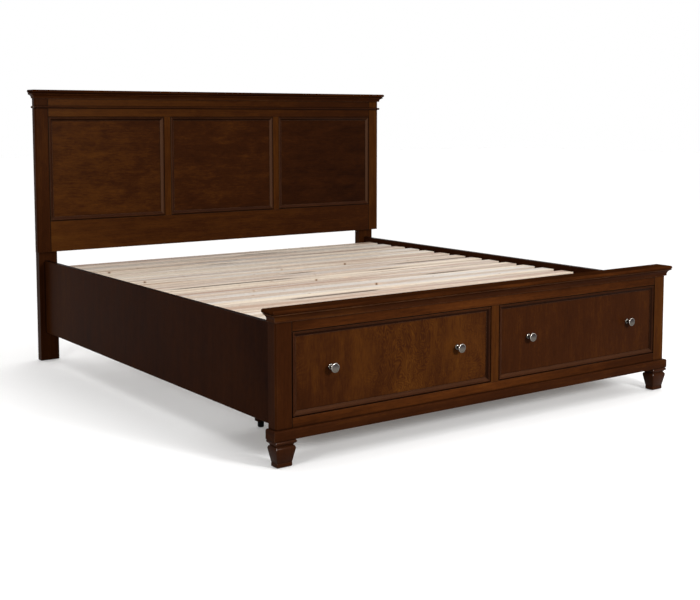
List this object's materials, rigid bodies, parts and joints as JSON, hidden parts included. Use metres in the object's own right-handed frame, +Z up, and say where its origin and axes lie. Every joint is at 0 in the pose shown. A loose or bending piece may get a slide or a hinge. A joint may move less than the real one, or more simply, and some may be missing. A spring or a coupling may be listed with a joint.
{
  "type": "storage bed",
  "caption": "King size panel bed with crowned headboard, tall side rails, cross slats and a low footboard that holds a row of drawers on telescopic slides.",
  "frame": {"origin": "on the floor under the middle of the bed's outline", "axes": "+X across the bed to the right seen from the foot, +Y from the foot to the head, +Z up; the drawers open towards -Y"},
  "size_m": [2.135, 2.261, 1.347],
  "materials": {
    "stained_frame_wood": "dark brown stain under satin lacquer, straight grain",
    "stained_panel_veneer": "dark brown stained veneer under satin lacquer, figured grain",
    "stained_moulding_wood": "dark brown stain under satin lacquer",
    "case_board": "dark stained board, matt",
    "drawer_box_wood": "clear sealed hardwood",
    "drawer_bottom_board": "thin sealed plywood",
    "slat_pine": "planed untreated pine",
    "support_wood": "planed untreated hardwood",
    "slide_steel": "zinc plated",
    "plate_steel": "black",
    "bolt_steel": "black oxide",
    "knob_nickel": "satin nickel",
    "screw_steel": "zinc plated",
    "glide_plastic": "black nylon"
  },
  "bodies": {
    "bed_frame": {"case_back_board": "case_board", "case_divider": "case_board", "case_left_side": "case_board", "case_legs": "case_board", "case_right_side": "case_board", "case_slide_members": "slide_steel", "centre_beam": "support_wood", "centre_beam_legs": "support_wood", "footboard_back_rail": "stained_frame_wood", "footboard_base_moulding": "stained_moulding_wood", "footboard_bottom_rail": "stained_frame_wood", "footboard_cap": "stained_moulding_wood", "footboard_centre_stile": "stained_frame_wood", "footboard_cove_moulding": "stained_moulding_wood", "footboard_left_foot": "stained_frame_wood", "footboard_left_post": "stained_frame_wood", "footboard_right_foot": "stained_frame_wood", "footboard_right_post": "stained_frame_wood", "footboard_top_rail": "stained_frame_wood", "headboard_bead_moulding": "stained_moulding_wood", "headboard_bottom_rail": "stained_frame_wood", "headboard_centre_panel": "stained_panel_veneer", "headboard_crown_cap": "stained_moulding_wood", "headboard_crown_moulding": "stained_moulding_wood", "headboard_left_leg": "stained_frame_wood", "headboard_left_panel": "stained_panel_veneer", "headboard_left_post": "stained_frame_wood", "headboard_leg_bolts": "bolt_steel", "headboard_muntins": "stained_frame_wood", "headboard_panel_mouldings": "stained_moulding_wood", "headboard_right_leg": "stained_frame_wood", "headboard_right_panel": "stained_panel_veneer", "headboard_right_post": "stained_frame_wood", "headboard_top_rail": "stained_frame_wood", "left_side_rail": "stained_frame_wood", "nail_glides": "glide_plastic", "rail_hook_plates": "plate_steel", "right_side_rail": "stained_frame_wood", "slat_cleats": "support_wood", "slats": "slat_pine", "support_glides": "glide_plastic"},
    "left_drawer": {"left_drawer_back": "drawer_box_wood", "left_drawer_bottom": "drawer_bottom_board", "left_drawer_front": "stained_panel_veneer", "left_drawer_front_moulding": "stained_moulding_wood", "left_drawer_knob_screws": "screw_steel", "left_drawer_knobs": "knob_nickel", "left_drawer_sides": "drawer_box_wood", "left_drawer_slide_inner_members": "slide_steel"},
    "right_drawer": {"right_drawer_back": "drawer_box_wood", "right_drawer_bottom": "drawer_bottom_board", "right_drawer_front": "stained_panel_veneer", "right_drawer_front_moulding": "stained_moulding_wood", "right_drawer_knob_screws": "screw_steel", "right_drawer_knobs": "knob_nickel", "right_drawer_sides": "drawer_box_wood", "right_drawer_slide_inner_members": "slide_steel"},
    "left_slide_middle": {"left_drawer_slide_middle_members": "slide_steel"},
    "right_slide_middle": {"right_drawer_slide_middle_members": "slide_steel"}
  },
  "joints": [
    {"name": "left_drawer_slide", "type": "slide", "parent": "bed_frame", "child": "left_drawer", "axis": [0, -1, 0], "range_m": [0, 0.43]},
    {"name": "left_middle_member_slide", "type": "slide", "parent": "bed_frame", "child": "left_slide_middle", "axis": [0, -1, 0], "range_m": [0, 0.215]},
    {"name": "right_drawer_slide", "type": "slide", "parent": "bed_frame", "child": "right_drawer", "axis": [0, -1, 0], "range_m": [0, 0.43]},
    {"name": "right_middle_member_slide", "type": "slide", "parent": "bed_frame", "child": "right_slide_middle", "axis": [0, -1, 0], "range_m": [0, 0.215]}
  ],
  "couplings": [
    {"joint": "left_middle_member_slide", "follows": "left_drawer_slide", "ratio": 0.5},
    {"joint": "right_middle_member_slide", "follows": "right_drawer_slide", "ratio": 0.5}
  ]
}
